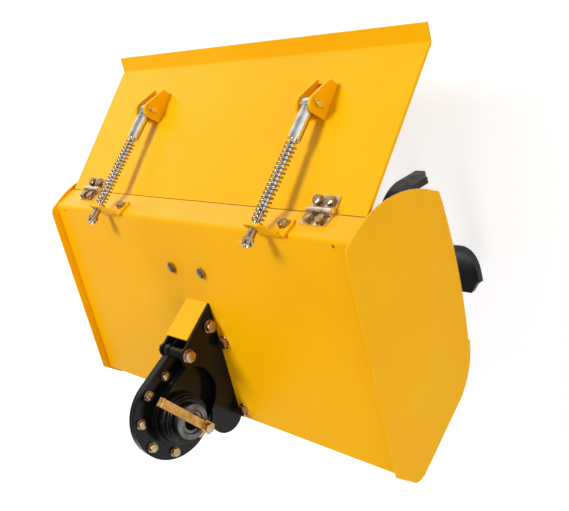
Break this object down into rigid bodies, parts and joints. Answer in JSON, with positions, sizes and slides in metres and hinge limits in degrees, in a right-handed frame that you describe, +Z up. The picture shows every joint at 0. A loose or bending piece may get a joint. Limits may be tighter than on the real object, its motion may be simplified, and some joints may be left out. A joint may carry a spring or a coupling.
{
  "type": "rotary tiller head",
  "caption": "Rotary tiller head for a walk-behind machine: sheet-steel hood, sprung hinged levelling flap, bolted gear case with drive hub, and a rotor of hooked tines.",
  "frame": {"origin": "on the drive bore's axis, at the hood's middle plane", "axes": "+X along the rotor and across the hood, +Y to the levelling flap at the rear, +Z up from the hood's flat top"},
  "size_m": [0.6, 0.4531, 0.3996],
  "materials": {
    "yellow_paint": "gloss enamel",
    "black_paint": "gloss enamel",
    "tine_steel": "matt black",
    "bright_zinc": "bright zinc plate",
    "yellow_zinc": "yellow passivated zinc",
    "bare_steel": "machined",
    "seal_rubber": "matt"
  },
  "bodies": {
    "hood": {"hood_panel": "yellow_paint", "side_plate_left": "yellow_paint", "side_plate_right": "yellow_paint", "drive_bracket": "yellow_paint", "gusset_left": "black_paint", "gusset_right": "black_paint", "panel_bolts": "yellow_zinc", "panel_nuts": "yellow_zinc", "gusset_bolts": "yellow_zinc", "gusset_nuts": "yellow_zinc", "gusset_spacers": "black_paint", "case_back_plate": "black_paint", "case_gasket": "seal_rubber", "case_cover": "black_paint", "case_bolts": "yellow_zinc", "input_housings": "black_paint", "rotor_housings": "black_paint", "hub_collar": "bright_zinc", "input_bearings": "bare_steel", "rotor_bearings": "bare_steel", "oil_seals": "seal_rubber", "idler_pins": "bare_steel", "lever_screw": "yellow_zinc", "hinge_leaf_hood_left": "yellow_zinc", "hinge_leaf_hood_right": "yellow_zinc", "hinge_pins": "bright_zinc", "hinge_bolts_hood": "yellow_zinc", "stay_tab_left": "yellow_paint", "stay_tab_right": "yellow_paint", "stay_tab_bolts": "yellow_zinc"},
    "flap": {"levelling_flap": "yellow_paint", "hinge_leaf_flap_left": "yellow_zinc", "hinge_leaf_flap_right": "yellow_zinc", "hinge_bolts_flap": "yellow_zinc", "clevis_left": "yellow_paint", "clevis_right": "yellow_paint", "clevis_pins": "bright_zinc"},
    "stay_left": {"stay_sleeve_left": "bright_zinc", "stay_rod_left": "bright_zinc", "stay_spring_left": "bright_zinc", "stay_nut_left": "yellow_zinc"},
    "stay_right": {"stay_sleeve_right": "bright_zinc", "stay_rod_right": "bright_zinc", "stay_spring_right": "bright_zinc", "stay_nut_right": "yellow_zinc"},
    "rotor": {"rotor_shaft": "bare_steel", "rotor_tube_left": "black_paint", "rotor_tube_right": "black_paint", "tines_left": "tine_steel", "tines_right": "tine_steel", "tine_bolts_left": "yellow_zinc", "tine_bolts_right": "yellow_zinc", "rotor_nuts": "yellow_zinc", "output_gear": "bare_steel"},
    "input": {"input_sleeve": "bare_steel", "input_gear": "bare_steel"},
    "idler_1": {"idler_gear_1": "bare_steel"},
    "idler_2": {"idler_gear_2": "bare_steel"},
    "idler_3": {"idler_gear_3": "bare_steel"},
    "lever": {"lock_lever": "yellow_zinc"}
  },
  "joints": [
    {"name": "flap_hinge", "type": "hinge", "parent": "hood", "child": "flap", "pos_m": [0, 0.24485, -0.10269], "axis": [1, 0, 0], "range_deg": [0, 30], "stiffness_Nm_per_rad": 11, "springref_deg": -5.73, "deforming": ["stay_spring_left", "stay_spring_right"]},
    {"name": "stay_left_pivot", "type": "hinge", "parent": "flap", "child": "stay_left", "pos_m": [-0.154, 0.33522, -0.17524], "axis": [1, 0, 0], "range_deg": [-6.8, 0.2]},
    {"name": "stay_right_pivot", "type": "hinge", "parent": "flap", "child": "stay_right", "pos_m": [0.17, 0.33522, -0.17524], "axis": [1, 0, 0], "range_deg": [-6.8, 0.2]},
    {"name": "rotor_spin", "type": "hinge", "parent": "hood", "child": "rotor", "pos_m": [0, 0.11502, -0.21632], "axis": [1, 0, 0], "continuous": true},
    {"name": "idler_3_spin", "type": "hinge", "parent": "hood", "child": "idler_3", "pos_m": [0, 0.08627, -0.16224], "axis": [1, 0, 0], "continuous": true},
    {"name": "idler_2_spin", "type": "hinge", "parent": "hood", "child": "idler_2", "pos_m": [0, 0.05751, -0.10816], "axis": [1, 0, 0], "continuous": true},
    {"name": "idler_1_spin", "type": "hinge", "parent": "hood", "child": "idler_1", "pos_m": [0, 0.02876, -0.05408], "axis": [1, 0, 0], "continuous": true},
    {"name": "input_spin", "type": "hinge", "parent": "hood", "child": "input", "pos_m": [0, 0, 0], "axis": [1, 0, 0], "continuous": true},
    {"name": "lever_turn", "type": "hinge", "parent": "hood", "child": "lever", "pos_m": [0.0394, -0.0115, -0.0122], "axis": [1, 0, 0], "range_deg": [0, 100]}
  ],
  "couplings": [
    {"joint": "stay_left_pivot", "follows": "flap_hinge", "ratio": -0.219},
    {"joint": "stay_right_pivot", "follows": "flap_hinge", "ratio": -0.219},
    {"joint": "idler_3_spin", "follows": "rotor_spin", "ratio": -1},
    {"joint": "idler_2_spin", "follows": "rotor_spin", "ratio": 1},
    {"joint": "idler_1_spin", "follows": "rotor_spin", "ratio": -1},
    {"joint": "input_spin", "follows": "rotor_spin", "ratio": 1}
  ]
}
